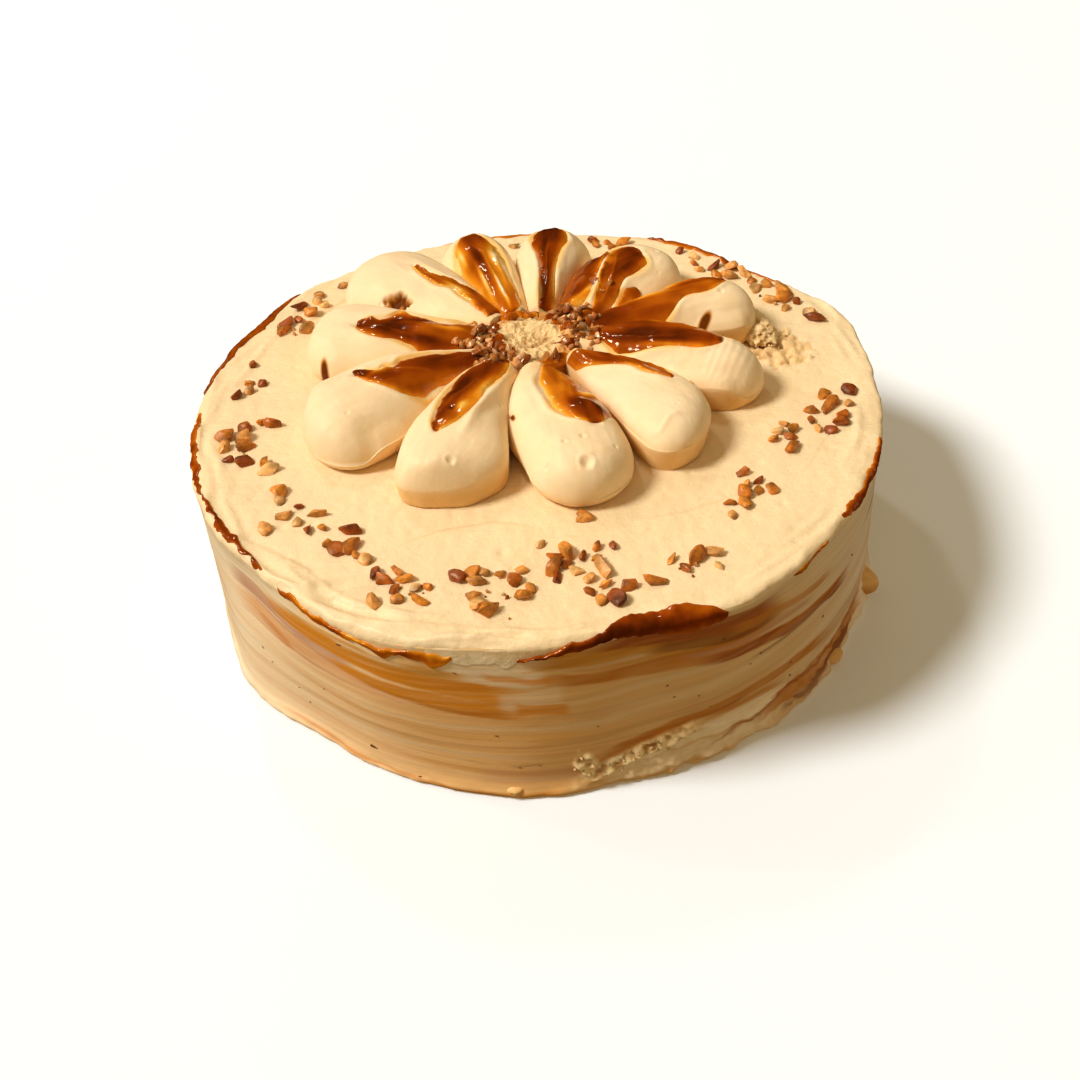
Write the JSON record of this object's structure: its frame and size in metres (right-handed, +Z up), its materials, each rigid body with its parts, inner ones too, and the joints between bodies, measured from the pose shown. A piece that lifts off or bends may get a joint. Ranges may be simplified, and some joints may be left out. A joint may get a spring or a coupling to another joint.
{
  "type": "caramel layer cake",
  "caption": "Whole round iced cake with a piped cream flower, caramel in the petals and chopped nuts on top.",
  "frame": {"origin": "centre of the cake's flat underside", "axes": "+Z up out of the iced top, +X to the right and +Y away as the picture sees the cake"},
  "size_m": [0.2322, 0.233, 0.0818],
  "materials": {
    "icing": "spread pale beige icing, tan and caramel streaks round the side",
    "cream": "piped cream, satin, pale warm beige",
    "caramel": "thick glossy caramel, amber where thin and brown where deep",
    "crumb": "crumbs and chopped nuts, rough"
  },
  "bodies": {
    "root": {"cake": "icing", "flower_centre": "crumb", "petal_01": "cream", "petal_02": "cream", "petal_03": "cream", "petal_04": "cream", "petal_05": "cream", "petal_06": "cream", "petal_07": "cream", "petal_08": "cream", "petal_09": "cream", "petal_10": "cream", "petal_11": "cream", "caramel_01": "caramel", "caramel_02": "caramel", "caramel_04": "caramel", "caramel_05": "caramel", "caramel_06": "caramel", "caramel_07": "caramel", "caramel_08": "caramel", "caramel_09": "caramel", "caramel_10": "caramel", "caramel_11": "caramel"}
  },
  "joints": []
}
